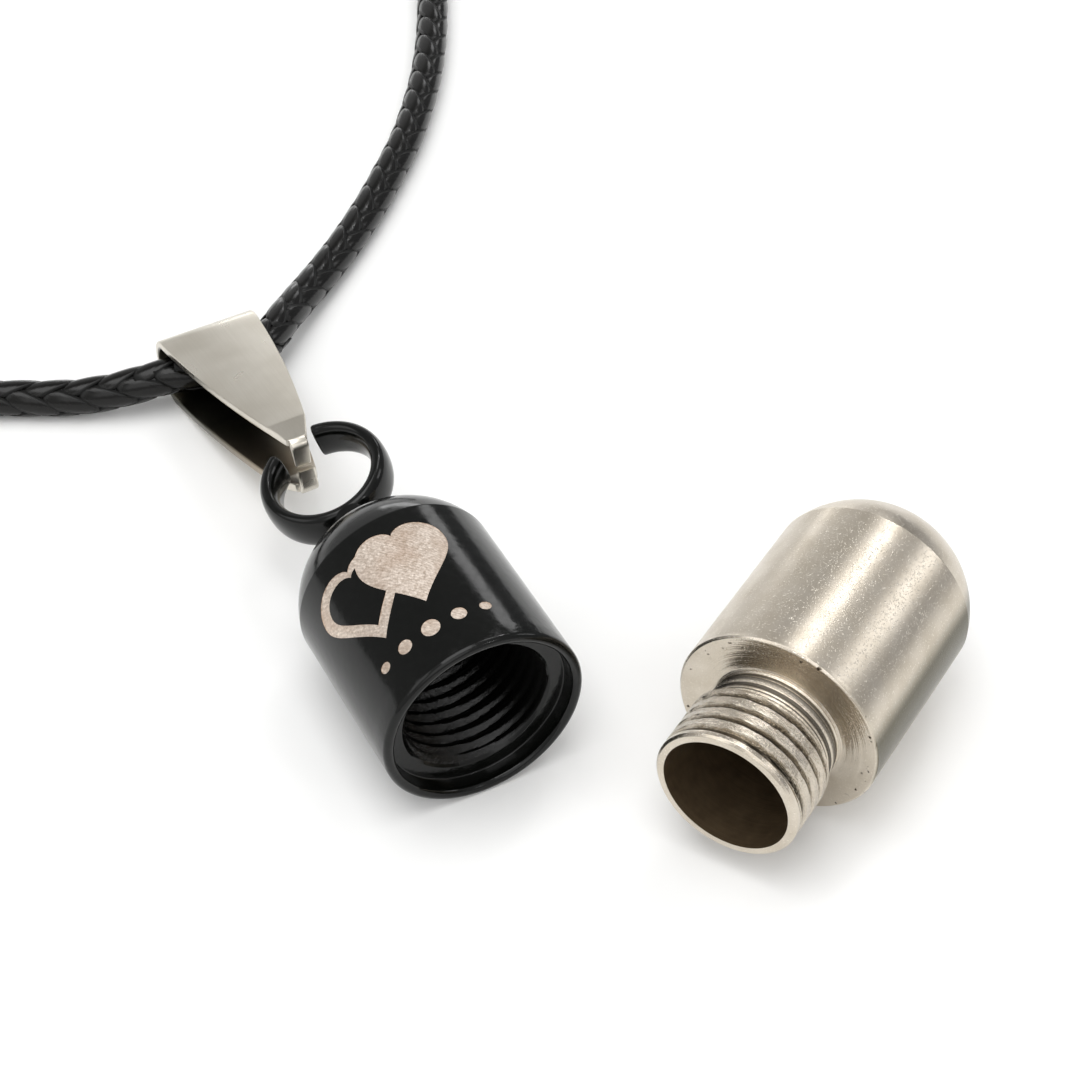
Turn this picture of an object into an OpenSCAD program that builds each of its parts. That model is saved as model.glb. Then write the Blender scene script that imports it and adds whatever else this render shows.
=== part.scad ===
// Keepsake urn pendant, lying open on a table: a black screw cap with its eye ring,
// a folded bail on a necklace cord, and the nickel-plated vial beside it.
// Millimetres, +Z up, the table at z = 0.

/* [Shells] */
// Outer diameter of the cap and of the vial
shell_d = 10; // [8:0.5:14]
// Height of the domed end of the cap and of the vial
dome_h = 3.9; // [2.5:0.1:3.9]

/* [Cap] */
// Length of the cap's straight side, from its mouth to its dome
cap_skirt = 9.4; // [8:0.2:14]
// Thickness of the rounded lip at the cap's mouth
lip_t = 0.54; // [0.4:0.02:0.8]
// Depth of the plain recess behind the cap's lip
recess_depth = 0.9; // [0.5:0.1:1.5]
// Depth of the cap's bore, from its mouth to its flat end
cap_bore_depth = 8; // [7:0.2:8.4]

/* [Vial] */
// Length of the vial's straight side, from its shoulder to its dome
vial_side = 9.6; // [8:0.2:20]
// Radius of the vial's chamber
chamber_r = 2.88; // [2:0.02:2.9]
// Thickness of metal between the chamber's end and the top of the dome
chamber_end_t = 1.5; // [1:0.1:3]
// Width of the bevels on the two edges of the neck's rim
mouth_bevel = 0.12; // [0.06:0.02:0.16]
// Width of the bevel on the shoulder's edge
shoulder_bevel = 0.1; // [0.05:0.05:0.3]

/* [Thread] */
// Crest radius of the vial's thread
thread_r = 3.54; // [3.4:0.02:3.7]
// Distance from one crest to the next
thread_pitch = 0.75; // [0.5:0.05:1]
// Height of the thread's ridges
thread_h = 0.36; // [0.2:0.02:0.4]
// Width of the flat on each crest
crest_w = 0.14; // [0.1:0.02:0.2]
// Number of crests on the vial's neck
neck_crests = 4; // [3:1:5]
// Width of the plain groove between the vial's shoulder and its thread
relief_w = 1.45; // [1.2:0.05:2.5]
// Radius of that groove's floor
relief_r = 3.12; // [3.06:0.02:3.3]
// Length of the neck's rim, past its last groove
rim_l = 0.45; // [0.4:0.05:0.8]
// Play between the cap's thread and the vial's, on the radius
thread_gap = 0.08; // [0.04:0.02:0.15]

/* [Eye ring] */
// Radius of the ring's wall, at its middle
ring_r = 2.88; // [2.7:0.02:3.4]
// Thickness of the ring's wall
ring_t = 0.9; // [0.7:0.05:1.1]
// Width of the ring's wall along its axis
ring_w = 2.1; // [1.6:0.1:2.3]
// Half the angle of the ring's open gap
ring_gap = 23; // [22:1:30]
// Turn of the gap towards the photo's left
ring_gap_turn = 8; // [7:0.5:9]
// Turn of the ring about the cap's axis
ring_turn = 18; // [10:1:22]
// Height of the weld post between the dome and the ring
post_h = 0.9; // [0.6:0.1:1.6]
// Radius of the weld post where it meets the ring
post_r = 1.1; // [0.8:0.05:1.4]

/* [Bail] */
// Length of the bail, from its fold to its prongs
bail_l = 14.8; // [13.5:0.1:16]
// Width of the bail at its fold
bail_w = 5.4; // [4.5:0.1:6]
// Width of the bail where its legs bend inwards
bail_bend_w = 2.1; // [1.7:0.1:2.2]
// Width of the two prongs at its narrow end
prong_w = 0.9; // [0.7:0.05:0.95]
// How far each side bows out past a straight taper
bail_bow = 0.22; // [0:0.02:0.4]
// Depth of the bail across its two legs
bail_h = 3.7; // [3.6:0.1:4.2]
// Thickness of the bail's strip
bail_t = 0.45; // [0.3:0.05:0.5]
// Length of the bent end of each leg
bend_l = 1.6; // [1.2:0.1:2]
// Angle of that bend, inwards
bend_a = 12; // [8:1:14]
// Gap left between the two prongs
prong_gap = 0.16; // [0.1:0.02:0.4]
// How far the lower prong stands ahead of the upper one
prong_step = 0.3; // [0:0.05:0.4]
// Upward slope of the bail, from its fold to its prongs
bail_pitch = 12.2; // [11.5:0.1:13]
// Sideways lean of the bail
bail_roll = 2; // [1:0.5:3]
// Turn of the bail from the cap's axis
bail_turn = 0.5; // [0:0.1:1]

/* [Cord] */
// Diameter of the necklace cord
cord_d = 2; // [1.6:0.1:2]

/* [Clasp] */
// Diameter of the clasp's barrel
clasp_d = 4; // [3.6:0.1:6]
// Length of the clasp's barrel
clasp_l = 12; // [12:0.5:16]
// Play round the cord's end in the clasp's socket
socket_gap = 0.06; // [0.02:0.02:0.2]
// Radius of the rounding on the barrel's edges
clasp_round = 0.5; // [0.2:0.1:0.6]

/* [Layout] */
// Place of the vial's shoulder from the cap's mouth, across
vial_dx = 11.5; // [10.5:0.1:18]
// Place of the vial's shoulder from the cap's mouth, along
vial_dy = -6.2; // [-10:0.1:-5]
// Turn of the vial's axis from the cap's axis
vial_turn = 58.6; // [50:0.2:70]

/* [Hidden] */
$fn = 96;

shell_r = shell_d / 2;
// the dome is part of a ball that meets the side at a slight edge
dome_r = (shell_r * shell_r + dome_h * dome_h) / (2 * dome_h);
// cuts run this far past the faces that they open
over = 0.5;

// thread: the vial's ridges stand on the neck, the cap's stand in from its bore
root_r = thread_r - thread_h;
cap_root_r = thread_r + thread_gap;
cap_crest_r = cap_root_r - thread_h;
thread_l = neck_crests * thread_pitch;
neck_l = relief_w + thread_l + rim_l;
cap_crests = floor((cap_bore_depth - recess_depth - thread_pitch) / thread_pitch);

// eye ring
cap_l = cap_skirt + dome_h;
ring_out_r = ring_r + ring_t / 2;
ring_z = cap_l + post_h + ring_out_r;
post_flare = 0.6;
post_sink = 0.4;

// bail: its own frame has its origin at the middle of the fold, x along the legs
// the fold meets the legs at a slight edge
bail_fold_r = bail_h / 2 + 0.01;
leg_l = bail_l - bail_fold_r - bend_l * cos(bend_a);
// the fold rests on the table by its lower side, where the cord's route goes through it
bail_x = -9.6;
fold_y = 21;
fold_z = bail_fold_r + bail_w / 2 * sin(bail_roll) + 0.02;
// the prongs stand in the eye ring's opening, just inside its wall
prong_reach = 0.4;
prong_y = fold_y - (bail_l - bail_fold_r) * cos(bail_pitch);
cap_x = bail_x + 0.2;
cap_y = prong_y + prong_reach - ring_z - ring_r + ring_t / 2;

// clasp: it lies on the table at the far side of the loop, along x
socket_depth = 4;
clasp_x = -31.8;
clasp_y = 177.6;

// Route of the cord's middle from one socket of the clasp round to the other, through
// the bail. The points are chosen by hand: x, y and the height above where it would lie.
at_clasp = (clasp_d - cord_d) / 2;
in_bail = fold_z - cord_d / 2;
route = [
    [-34.2, 177.6, at_clasp], [-38.4, 177.6, at_clasp], [-42.8, 177.2, 0.7], [-48.8, 176, 0.1],
    [-57.8, 172.6, 0], [-69.8, 166.1, 0], [-82.8, 155.6, 0], [-92.8, 141.6, 0], [-98.8, 124.6, 0],
    [-99.8, 106.6, 0], [-95.3, 89.1, 0], [-85.3, 73.6, 0], [-70.8, 59.6, 0], [-53.3, 46.1, 0],
    [-36.8, 34.2, 0], [-25.8, 27.2, 0], [-20.4, 24.2, 0], [-17.2, 22.5, 0.1], [-14.8, 21.5, 0.5],
    [-12.3, 20.8, in_bail], [-9.7, 20.3, in_bail], [-7.2, 20.8, in_bail],
    [-5.2, 22.4, 0.8], [-3.4, 24.1, 0.4], [-1.2, 26, 0.1], [1.7, 28.5, 0], [5.2, 31.9, 0],
    [9.6, 36.9, 0], [14.2, 43.9, 0], [20, 55.6, 0], [28.2, 71.6, 0], [35.2, 88.6, 0], [38.2, 106.6, 0],
    [35.7, 124.6, 0], [28.2, 141.6, 0], [16.2, 155.6, 0], [1.7, 166.6, 0], [-8.8, 172.6, 0],
    [-15.8, 175.6, 0.2], [-20.8, 177.2, 0.7], [-25.2, 177.6, at_clasp], [-29.4, 177.6, at_clasp]];
route_steps = 2;
cord_sides = 8;

// Point at share t between route points b and c, on a curve that passes all points
function spline(a, b, c, d, t) =
    0.5 * (2 * b + (c - a) * t + (2 * a - 5 * b + 4 * c - d) * t * t
           + (3 * b - a - 3 * c + d) * t * t * t);
function at(points, i) = points[min(max(i, 0), len(points) - 1)];
function smooth(points, steps) = concat(
    [for (i = [0 : len(points) - 2], k = [0 : steps - 1])
        spline(at(points, i - 1), at(points, i), at(points, i + 1), at(points, i + 2), k / steps)],
    [at(points, len(points) - 1)]);
function unit(v) = v / norm(v);
function heading(path, i) = unit(at(path, i + 1) - at(path, i - 1));

// Ring of points square to the path at point i; one flat of the ring faces the table
function ring_points(path, i, r, sides) =
    let (f = heading(path, i), side = unit(cross(f, [0, 0, 1])), up = cross(side, f))
    [for (k = [0 : sides - 1])
        let (a = (k + 0.5) * 360 / sides)
        path[i] + r / cos(180 / sides) * (cos(a) * side + sin(a) * up)];

// Tube swept along a path, closed at both ends
module tube(path, r, sides) {
    n = len(path);
    points = [for (i = [0 : n - 1]) each ring_points(path, i, r, sides)];
    walls = [for (i = [0 : n - 2], k = [0 : sides - 1])
        let (a = i * sides + k, b = i * sides + (k + 1) % sides)
        each [[a, b, b + sides], [a, b + sides, a + sides]]];
    first = [for (k = [1 : sides - 2]) [0, k + 1, k]];
    last = [for (k = [1 : sides - 2]) [(n - 1) * sides, (n - 1) * sides + k, (n - 1) * sides + k + 1]];
    polyhedron(points = points, faces = concat(walls, first, last));
}

// Outline of a row of ridges, from radius root at z = 0 to the same at its far end
function ridge_row(count, root, crest) = [for (i = [0 : count - 1])
    let (mid = (i + 0.5) * thread_pitch, foot = thread_pitch / 2 - crest_w / 4)
    each [[root, mid - foot], [crest, mid - crest_w / 2],
          [crest, mid + crest_w / 2], [root, mid + foot]]];

// Domed end that meets a straight side of length side at z = side
module dome(side) {
    intersection() {
        translate([0, 0, side + dome_h - dome_r]) sphere(r = dome_r);
        translate([0, 0, side - over]) cylinder(r = shell_r, h = dome_h + 2 * over);
    }
}

// Outside of the cap, with a lip that is rounded all the way over
module cap_body() {
    translate([0, 0, lip_t / 2]) cylinder(r = shell_r, h = cap_skirt - lip_t / 2);
    cylinder(r = shell_r - lip_t / 2, h = lip_t);
    rotate_extrude() translate([shell_r - lip_t / 2, lip_t / 2]) circle(d = lip_t, $fn = 32);
    dome(cap_skirt);
}

// Space inside the cap: the recess behind the lip, then the threaded bore
module cap_hollow() {
    recess_r = shell_r - lip_t;
    translate([0, 0, lip_t / 2]) cylinder(r = recess_r, h = recess_depth - lip_t / 2);
    translate([0, 0, -over]) cylinder(r = shell_r - lip_t / 2, h = over + lip_t / 2 - 0.001);
    start = recess_depth - 0.001;
    translate([0, 0, start]) rotate_extrude() polygon(concat(
        [[0, 0], [cap_root_r, 0]], ridge_row(cap_crests, cap_root_r, cap_crest_r),
        [[cap_root_r, cap_bore_depth - start], [0, cap_bore_depth - start]]));
}

// Eye ring, open towards the bail, in the cap's frame with its dome along z
module eye_ring() {
    flat = ring_w - ring_t;
    translate([0, 0, ring_z]) rotate([0, 0, -ring_turn]) rotate([90, 0, 0])
        rotate([0, 0, 90 + ring_gap_turn + ring_gap])
            rotate_extrude(angle = 360 - 2 * ring_gap) translate([ring_r, 0]) {
                square([ring_t, flat], center = true);
                for (s = [-1, 1]) translate([0, s * flat / 2]) circle(d = ring_t, $fn = 32);
            }
    translate([0, 0, cap_l - post_sink])
        cylinder(r1 = post_r + post_flare, r2 = post_r, h = post_sink + post_h + ring_t / 2);
}

// Lays a piece modelled along z on the table, its z along the row's +Y
module laid(x, y, turn) {
    translate([x, y, shell_r]) rotate([0, 0, turn]) rotate([-90, 0, 0]) children();
}

module cap() {
    color("#16171a") laid(cap_x, cap_y, 0) {
        difference() {
            cap_body();
            cap_lip_throat();
            cap_hollow();
        }
        eye_ring();
    }
}

// The lip's inner half is rounded too
module cap_lip_throat() {
    mid = shell_r - lip_t / 2;
    rotate_extrude() difference() {
        translate([0, -over]) square([mid, over + lip_t / 2]);
        translate([mid, lip_t / 2]) circle(d = lip_t, $fn = 32);
    }
}

// The strip's outer side, filled in (inset = 0), or its inner side (inset = bail_t)
module bail_core(inset, width) {
    half = bail_h / 2 - inset;
    bend = leg_l + (bail_t / 2 - inset) * tan(bend_a / 2);
    tip = leg_l + bend_l * cos(bend_a) + bail_t / 2 - inset;
    low_tip = inset > 0 ? tip : tip + prong_step;
    intersection() {
        union() {
            cylinder(r = bail_fold_r - inset, h = width, center = true);
            linear_extrude(height = width, center = true)
                polygon([[0, half], [bend, half], [tip, half - (tip - bend) * tan(bend_a)],
                    [tip, 0], [low_tip, 0], [low_tip, (low_tip - bend) * tan(bend_a) - half],
                    [bend, -half], [0, -half]]);
        }
        cube([2 * bail_l, 2 * half, 2 * width], center = true);
    }
}

// Front view of the strip, widest at its fold, with a small step where the prongs start
module bail_front() {
    steps = 8;
    step_x = leg_l + bend_l * cos(bend_a) - bail_t / 2;
    function half_w(t) = (bail_w * (1 - t) + bail_bend_w * t) / 2 + 4 * bail_bow * t * (1 - t);
    side = concat(
        [[-bail_fold_r - over, bail_w / 2]],
        [for (i = [0 : steps]) [leg_l * i / steps, half_w(i / steps)]],
        [[step_x, prong_w / 2 + 0.1], [step_x, prong_w / 2], [bail_l, prong_w / 2]]);
    last = len(side) - 1;
    polygon(concat(side, [for (i = [last : -1 : 0]) [side[i][0], -side[i][1]]]));
}

module bail() {
    color("#c9c7c1")
        translate([bail_x, fold_y, fold_z])
            rotate([-bail_pitch, -bail_roll, -bail_turn]) rotate([0, 0, -90]) rotate([90, 0, 0])
                intersection() {
                    difference() {
                        bail_core(0, 2 * bail_w);
                        bail_core(bail_t, 3 * bail_w);
                        translate([leg_l, -prong_gap / 2, -bail_w])
                            cube([bail_l, prong_gap, 2 * bail_w]);
                    }
                    rotate([90, 0, 0])
                        linear_extrude(height = 2 * bail_h, center = true) bail_front();
                }
}

module cord() {
    color("#1b1a19")
        tube(smooth([for (p = route) p + [0, 0, cord_d / 2]], route_steps), cord_d / 2, cord_sides);
}

module clasp() {
    color("#c9c7c1")
        translate([clasp_x, clasp_y, clasp_d / 2]) rotate([0, 90, 0])
            difference() {
                rotate_extrude() difference() {
                    translate([0, -clasp_l / 2]) square([clasp_d / 2, clasp_l]);
                    for (s = [0, 1]) mirror([0, s])
                        translate([clasp_d / 2 - clasp_round, clasp_l / 2 - clasp_round])
                            difference() {
                                square(clasp_round + over);
                                circle(r = clasp_round, $fn = 32);
                            }
                }
                for (s = [0, 1]) mirror([0, 0, s])
                    translate([0, 0, clasp_l / 2 - socket_depth])
                        cylinder(r = cord_d / 2 / cos(180 / cord_sides) + socket_gap,
                                 h = socket_depth + over);
            }
}

// Neck of the vial, standing on its shoulder at z = 0
module neck() {
    rotate_extrude() polygon(concat(
        [[0, -over], [relief_r, -over], [relief_r, relief_w], [root_r, relief_w]],
        [for (p = ridge_row(neck_crests, root_r, thread_r)) p + [0, relief_w]],
        [[root_r, relief_w + thread_l], [thread_r, relief_w + thread_l + thread_pitch / 2 - crest_w],
         [thread_r, neck_l - mouth_bevel], [thread_r - mouth_bevel, neck_l], [0, neck_l]]));
}

module vial() {
    color("#bdb8ad")
        laid(cap_x + vial_dx, cap_y + vial_dy, 180 - vial_turn) difference() {
            union() {
                neck();
                mirror([0, 0, 1]) {
                    translate([0, 0, shoulder_bevel])
                        cylinder(r = shell_r, h = vial_side - shoulder_bevel);
                    cylinder(r1 = shell_r - shoulder_bevel, r2 = shell_r, h = shoulder_bevel);
                    dome(vial_side);
                }
            }
            depth = vial_side + dome_h - chamber_end_t;
            translate([0, 0, -depth]) cylinder(r = chamber_r, h = depth + neck_l + over);
            translate([0, 0, neck_l - mouth_bevel])
                cylinder(r1 = chamber_r, r2 = chamber_r + 2 * mouth_bevel, h = 2 * mouth_bevel);
        }
}

cap();
bail();
cord();
clasp();
vial();
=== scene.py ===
import math

import bmesh
import bpy
from mathutils import Matrix, Vector
from mathutils.geometry import delaunay_2d_cdt


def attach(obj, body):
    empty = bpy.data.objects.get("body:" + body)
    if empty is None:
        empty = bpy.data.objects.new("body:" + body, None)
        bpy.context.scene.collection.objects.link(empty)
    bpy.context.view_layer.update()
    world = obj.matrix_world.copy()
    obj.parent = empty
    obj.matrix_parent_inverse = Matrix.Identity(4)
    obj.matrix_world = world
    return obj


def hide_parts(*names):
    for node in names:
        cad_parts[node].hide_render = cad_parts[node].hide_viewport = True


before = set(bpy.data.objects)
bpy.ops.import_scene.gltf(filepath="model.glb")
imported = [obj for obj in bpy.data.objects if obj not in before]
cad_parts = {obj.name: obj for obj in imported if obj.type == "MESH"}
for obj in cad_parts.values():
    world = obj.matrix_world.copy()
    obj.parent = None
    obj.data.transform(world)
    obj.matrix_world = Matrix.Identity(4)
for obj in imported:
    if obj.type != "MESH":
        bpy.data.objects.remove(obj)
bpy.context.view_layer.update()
mm = 0.001


def say(stage):
    print("scene: " + stage)


# camera, floor and light

cameraLook = {
    "place": (-42.2, -79.7, 91.4),  # mm, from the size of the cap's mouth and the cord in the picture
    "target": (0.4, 2.4, 0.0),      # mm, at the middle of the picture
    "lens": 85.0,
    "sensor": 36.0,
    "clip": (0.005, 20),            # metres
}
floorLook = {"size": 3.0, "colour": "#F9F9F8", "roughness": 0.75}
# place and size in mm, strength as the brightness of the lamp's face; all look at boxTarget
boxTarget = (0, 0, 5)
softBoxes = [
    {"name": "keyBox", "place": (225, 166, 345), "size": (120, 160), "strength": 1.1},
    {"name": "keySpot", "place": (254, 158, 329), "size": (38, 38), "strength": 13.0},
    {"name": "glossBox", "place": (162, 126, 400), "size": (120, 80), "strength": 3.0},
    {"name": "sideBox", "place": (297, 279, 189), "size": (90, 90), "strength": 3.0},
    {"name": "rightBox", "place": (384, -78, 224), "size": (110, 150), "strength": 2.4},
    {"name": "frontSpot", "place": (148, -310, 270), "size": (22, 22), "strength": 36.0},
    {"name": "leftBox", "place": (-360, 60, 260), "size": (300, 200), "strength": 1.2},
    {"name": "cameraBox", "place": (-150, -330, 330), "size": (400, 300), "strength": 1.0},
    {"name": "topBox", "place": (-80, 0, 450), "size": (380, 280), "strength": 2.8},
    {"name": "backBox", "place": (158, 420, 40), "size": (140, 60), "strength": 3.0},
]
# the studio round the table: pale on the left, dimmer towards the right, with a dim strip ahead;
# across, stripStart and stripEnd are how far out, from 0 to 1, each change starts and ends
skyLook = {
    "left": "#FFFFFF", "right": "#BEBFC2", "across": (0.3, 1.0),
    "strength": 0.68, "strip": 0.36, "stripStart": (0.36, 0.5), "stripEnd": (0.8, 0.67),
}


def linearColour(code):
    # an sRGB hex value as linear red, green, blue and alpha
    parts = [int(code[i:i + 2], 16) / 255 for i in (1, 3, 5)]
    return [c / 12.92 if c <= 0.04045 else ((c + 0.055) / 1.055) ** 2.4 for c in parts] + [1.0]


def addNode(tree, kind, inputs=None, **settings):
    # a node with its settings; an input takes a value, an output, or a node for its first output in use
    node = tree.nodes.new(kind)
    for name, value in settings.items():
        setattr(node, name, value)
    for socket, value in (inputs or {}).items():
        if isinstance(value, bpy.types.Node):
            value = next(o for o in value.outputs if o.enabled)
        if isinstance(value, bpy.types.NodeSocket):
            tree.links.new(value, node.inputs[socket])
        else:
            node.inputs[socket].default_value = value
    return node


def aimed(place, target):
    # matrix of something at place that looks along its -Z at target
    place, target = Vector(place) * mm, Vector(target) * mm
    return Matrix.Translation(place) @ (target - place).to_track_quat("-Z", "Y").to_matrix().to_4x4()


def newMaterial(name):
    # an empty material and its tree
    material = bpy.data.materials.new(name)
    material.use_nodes = True
    material.node_tree.nodes.clear()
    return material, material.node_tree


def makeStage():
    lens = bpy.data.cameras.new("camera")
    lens.lens, lens.sensor_width, lens.sensor_fit = cameraLook["lens"], cameraLook["sensor"], "AUTO"
    lens.clip_start, lens.clip_end = cameraLook["clip"]
    camera = bpy.data.objects.new("camera", lens)
    camera.matrix_world = aimed(cameraLook["place"], cameraLook["target"])
    bpy.context.scene.collection.objects.link(camera)
    bpy.context.scene.camera = camera

    # matt white paper sweep: pale, with no gloss
    paper, tree = newMaterial("mattPaper")
    shader = addNode(tree, "ShaderNodeBsdfPrincipled", {
        "Base Color": linearColour(floorLook["colour"]), "Roughness": floorLook["roughness"]})
    addNode(tree, "ShaderNodeOutputMaterial", {"Surface": shader})
    half = floorLook["size"] / 2
    plane = bpy.data.meshes.new("floor")
    corners = [(-half, -half, 0), (half, -half, 0), (half, half, 0), (-half, half, 0)]
    plane.from_pydata(corners, [], [(0, 1, 2, 3)])
    plane.materials.append(paper)
    floor = bpy.data.objects.new("floor", plane)
    bpy.context.scene.collection.objects.link(floor)

    for box in softBoxes:
        lamp = bpy.data.lights.new(box["name"], "AREA")
        lamp.shape = "RECTANGLE"
        lamp.size, lamp.size_y = box["size"][0] * mm, box["size"][1] * mm
        lamp.energy = box["strength"] * lamp.size * lamp.size_y * math.pi
        lampObject = bpy.data.objects.new(box["name"], lamp)
        lampObject.matrix_world = aimed(box["place"], boxTarget)
        bpy.context.scene.collection.objects.link(lampObject)

    sky, world = skyLook, bpy.data.worlds.new("studio")
    bpy.context.scene.world = world
    world.use_nodes = True
    tree = world.node_tree
    tree.nodes.clear()
    where = addNode(tree, "ShaderNodeTexCoord")
    parts = addNode(tree, "ShaderNodeSeparateXYZ", {0: where.outputs["Generated"]})
    across = addNode(tree, "ShaderNodeMapRange", {
        "Value": parts.outputs["X"], "From Min": sky["across"][0],
        "From Max": sky["across"][1]}, interpolation_type="SMOOTHSTEP")
    colour = addNode(tree, "ShaderNodeMix", {
        0: across, 6: linearColour(sky["left"]), 7: linearColour(sky["right"])}, data_type="RGBA")
    edges = []
    for first, last in (sky["stripStart"], sky["stripEnd"]):
        edges.append(addNode(tree, "ShaderNodeMapRange", {
            "Value": parts.outputs["Y"], "From Min": first,
            "From Max": last}, interpolation_type="SMOOTHSTEP"))
    strip = addNode(tree, "ShaderNodeMath", {0: edges[0], 1: edges[1]}, operation="MULTIPLY")
    strength = addNode(tree, "ShaderNodeMapRange", {
        "Value": strip, "To Min": sky["strength"], "To Max": sky["strip"]})
    glow = addNode(tree, "ShaderNodeBackground", {"Color": colour, "Strength": strength})
    addNode(tree, "ShaderNodeOutputWorld", {"Surface": glow})
    bpy.context.scene.view_settings.view_transform = "Standard"


makeStage()
say("camera, floor and light")


# shared makers; they work in mm in a piece's own frame

def roundedPath(corners, steps=5):
    # corners are (x, y, radius of the rounding there); returns the points of the path
    path = []
    for i, (x, y, radius) in enumerate(corners):
        here = Vector((x, y))
        if not radius or i in (0, len(corners) - 1):
            path.append(here)
            continue
        back = (Vector(corners[i - 1][:2]) - here).normalized()
        ahead = (Vector(corners[i + 1][:2]) - here).normalized()
        half = back.angle(ahead) / 2
        centre = here + (back + ahead).normalized() * radius / math.sin(half)
        start, end = here + back * radius / math.tan(half), here + ahead * radius / math.tan(half)
        for k in range(steps + 1):
            spoke = (start - centre).normalized().slerp((end - centre).normalized(), k / steps)
            path.append(centre + spoke * radius)
    return path


def latheFaces(rows):
    # rows of vertex numbers, with one number for a pole
    faces = []
    for lower, upper in zip(rows, rows[1:]):
        sides = max(len(lower), len(upper))
        for k in range(sides):
            n = (k + 1) % sides
            ring = [lower[k % len(lower)], lower[n % len(lower)],
                    upper[n % len(upper)], upper[k % len(upper)]]
            faces.append(tuple(dict.fromkeys(ring)))
    return faces


def domeProfile(radius, side, height, rows=26):
    # (radius, height) from the pole of a shallow dome to just before its edge, which stands at side
    ball = (radius ** 2 + height ** 2) / (2 * height)
    centre = side + height - ball
    edge = math.asin(radius / ball)
    return [(ball * math.sin(edge * k / rows), centre + ball * math.cos(edge * k / rows))
            for k in range(rows - 1)]


def turnedShape(profile, sides):
    # profile is a list of (radius, height) from pole to pole
    verts, rows = [], []
    for radius, height in profile:
        count = sides if radius > 1e-6 else 1
        rows.append(list(range(len(verts), len(verts) + count)))
        for k in range(count):
            angle = 2 * math.pi * k / sides
            verts.append(Vector((radius * math.cos(angle), radius * math.sin(angle), height)))
    return verts, rows


def sweptShape(stations):
    # stations are equal rings of points; each end is closed with a fan round its middle
    verts, rows = [], []
    for ring in stations:
        rows.append(list(range(len(verts), len(verts) + len(ring))))
        verts += ring
    faces = latheFaces(rows)
    for row in (rows[0], rows[-1]):
        middle = sum((verts[i] for i in row), Vector()) / len(row)
        verts.append(middle)
        faces += [(row[k], row[(k + 1) % len(row)], len(verts) - 1) for k in range(len(row))]
    return verts, faces


def meshFrom(name, verts, faces, materials, slots=None, shares=None):
    # a closed mesh in mm, merged, with its faces pointing outwards
    mesh = bpy.data.meshes.new(name)
    mesh.from_pydata(verts, [], faces)
    for material in materials:
        mesh.materials.append(material)
    if slots:
        mesh.polygons.foreach_set("material_index", slots)
    for label, values in (shares or {}).items():
        mesh.attributes.new(label, "FLOAT", "POINT").data.foreach_set("value", values)
    build = bmesh.new()
    build.from_mesh(mesh)
    bmesh.ops.remove_doubles(build, verts=build.verts, dist=1e-4)
    bmesh.ops.recalc_face_normals(build, faces=build.faces)
    build.to_mesh(mesh)
    build.free()
    return mesh


def placePiece(name, mesh, place, sharpAngle=35):
    # puts a mesh in mm at its place in the row frame, in metres, with its object at the origin
    mesh.transform(place @ Matrix.Scale(mm, 4))
    mesh.shade_smooth()
    mesh.set_sharp_from_angle(angle=math.radians(sharpAngle))
    piece = bpy.data.objects.new(name, mesh)
    bpy.context.scene.collection.objects.link(piece)
    return piece


def newGeometryTree(name, sockets):
    # a Geometry Nodes tree with geometry in and out and named inputs: (name, type, value)
    tree = bpy.data.node_groups.new(name, "GeometryNodeTree")
    tree.interface.new_socket("Geometry", in_out="INPUT", socket_type="NodeSocketGeometry")
    for label, kind, value in sockets:
        socket = tree.interface.new_socket(label, in_out="INPUT", socket_type="NodeSocket" + kind)
        if value is not None:
            socket.default_value = value
    tree.interface.new_socket("Geometry", in_out="OUTPUT", socket_type="NodeSocketGeometry")
    return tree, addNode(tree, "NodeGroupInput").outputs


def runTree(mesh, tree, values):
    # runs a tree on a mesh and returns the result as a plain mesh
    carrier = bpy.data.objects.new("carrier", mesh)
    bpy.context.scene.collection.objects.link(carrier)
    modifier = carrier.modifiers.new(tree.name, "NODES")
    modifier.node_group = tree
    for item in tree.interface.items_tree:
        if item.in_out == "INPUT" and item.name in values:
            modifier[item.identifier] = values[item.name]
    graph = bpy.context.evaluated_depsgraph_get()
    result = bpy.data.meshes.new_from_object(carrier.evaluated_get(graph), depsgraph=graph)
    bpy.data.objects.remove(carrier)
    return result


def turned(*turns):
    # a matrix of turns in degrees about named axes, the last one made first
    matrix = Matrix()
    for angle, axis in turns:
        matrix = matrix @ Matrix.Rotation(math.radians(angle), 4, axis)
    return matrix


def pieceSpace(tree, place):
    # Object coordinates turned into a piece's own frame, in mm
    where = addNode(tree, "ShaderNodeTexCoord")
    return addNode(tree, "ShaderNodeMapping", {
        "Vector": where.outputs["Object"], "Location": place.to_translation(), "Rotation": place.to_euler(),
        "Scale": (mm, mm, mm)}, vector_type="TEXTURE")


def axisSpace(tree, point):
    # radius and height about a piece's axis, alone and as one vector, for marks that run round it
    parts = addNode(tree, "ShaderNodeSeparateXYZ", {0: point})
    flat = addNode(tree, "ShaderNodeCombineXYZ", {0: parts.outputs[0], 1: parts.outputs[1]})
    radius = addNode(tree, "ShaderNodeVectorMath", {0: flat}, operation="LENGTH").outputs["Value"]
    return radius, parts.outputs[2], addNode(tree, "ShaderNodeCombineXYZ", {0: radius, 1: parts.outputs[2]})


# cord: four-strand round braid of black waxed polyester, one whole necklace loop

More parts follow.
